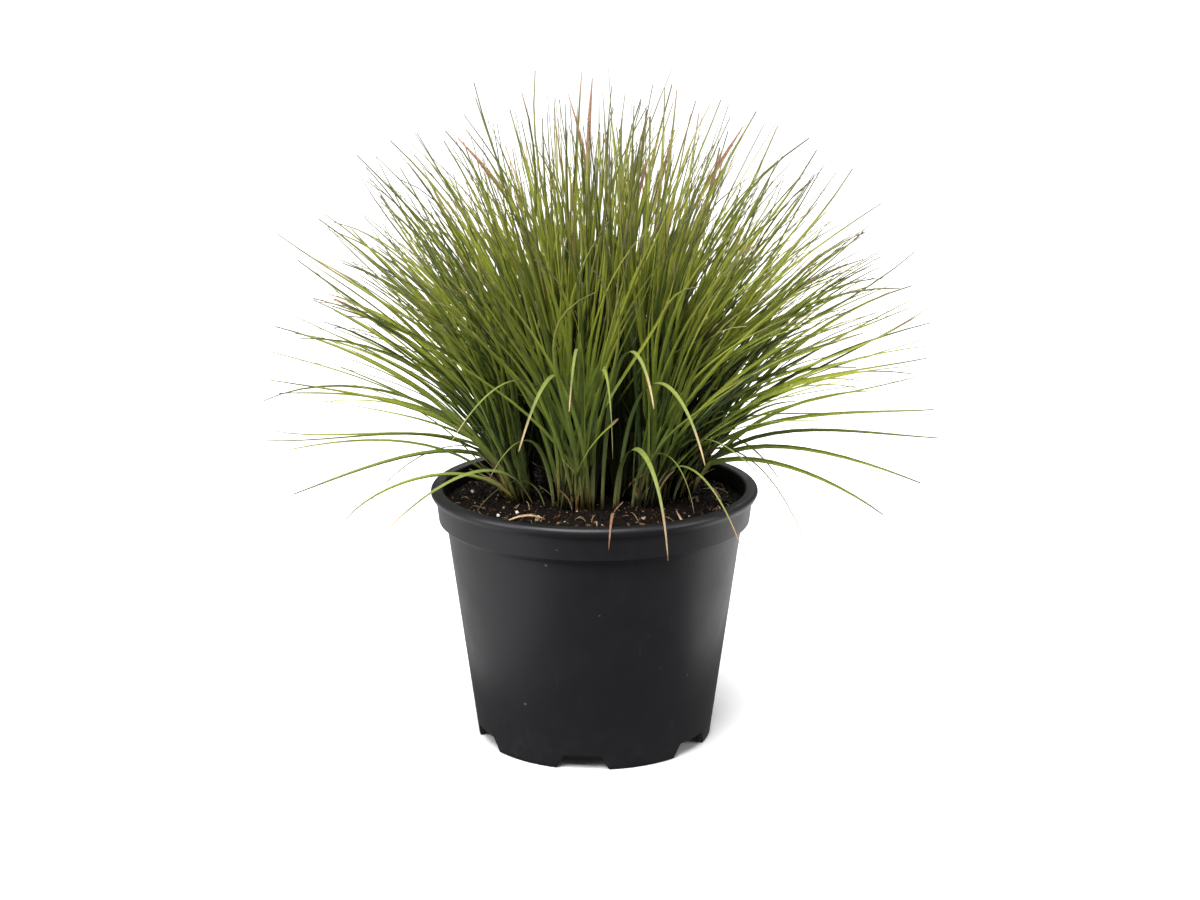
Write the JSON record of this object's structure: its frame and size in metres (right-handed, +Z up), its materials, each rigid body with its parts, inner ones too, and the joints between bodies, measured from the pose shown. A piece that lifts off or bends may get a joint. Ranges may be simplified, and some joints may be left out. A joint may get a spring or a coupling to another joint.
{
  "type": "potted ornamental grass clump",
  "caption": "Fountain-shaped clump of fine arching green grass leaves growing in dark soil in a round black nursery pot with a collared rim and a notched foot.",
  "frame": {"origin": "centre of the pot's foot, on the surface it stands on; the clump is centred over it", "axes": "+Z up, -Y the front, +X to the right as seen from the front"},
  "size_m": [0.3975, 0.364, 0.39],
  "materials": {
    "pot_plastic": "satin",
    "potting_mix": "matte",
    "leaf_green": "satin",
    "bent_leaf_green": "satin",
    "dry_straw": "matte",
    "dead_stalk_brown": "matte",
    "perlite_white": "matte",
    "husk_yellow": "matte"
  },
  "bodies": {
    "root": {"pot": "pot_plastic", "potting_soil": "potting_mix", "tuft_middle": "leaf_green", "tuft_inner_1": "leaf_green", "tuft_inner_2": "leaf_green", "tuft_inner_3": "leaf_green", "tuft_inner_4": "leaf_green", "tuft_outer_1": "leaf_green", "tuft_outer_2": "leaf_green", "tuft_outer_3": "leaf_green", "tuft_outer_4": "leaf_green", "tuft_outer_5": "leaf_green", "tuft_outer_6": "leaf_green", "tuft_outer_7": "leaf_green", "drooping_leaf_01": "bent_leaf_green", "drooping_leaf_02": "bent_leaf_green", "drooping_leaf_03": "bent_leaf_green", "drooping_leaf_04": "bent_leaf_green", "drooping_leaf_05": "bent_leaf_green", "drooping_leaf_06": "bent_leaf_green", "drooping_leaf_07": "bent_leaf_green", "drooping_leaf_08": "bent_leaf_green", "drooping_leaf_09": "bent_leaf_green", "drooping_leaf_10": "bent_leaf_green", "drooping_leaf_11": "bent_leaf_green", "drooping_leaf_12": "bent_leaf_green", "drooping_leaf_13": "bent_leaf_green", "drooping_leaf_14": "bent_leaf_green", "drooping_leaf_15": "bent_leaf_green", "drooping_leaf_16": "bent_leaf_green", "drooping_leaf_17": "bent_leaf_green", "drooping_leaf_18": "bent_leaf_green", "dead_leaf_1": "dry_straw", "dead_leaf_2": "dry_straw", "dead_leaf_3": "dry_straw", "dead_stalk": "dead_stalk_brown", "dead_stalk_fork": "dead_stalk_brown", "perlite_grain_1": "perlite_white", "perlite_grain_2": "perlite_white", "perlite_grain_3": "perlite_white", "perlite_grain_4": "perlite_white", "seed_husk": "husk_yellow"}
  },
  "joints": []
}
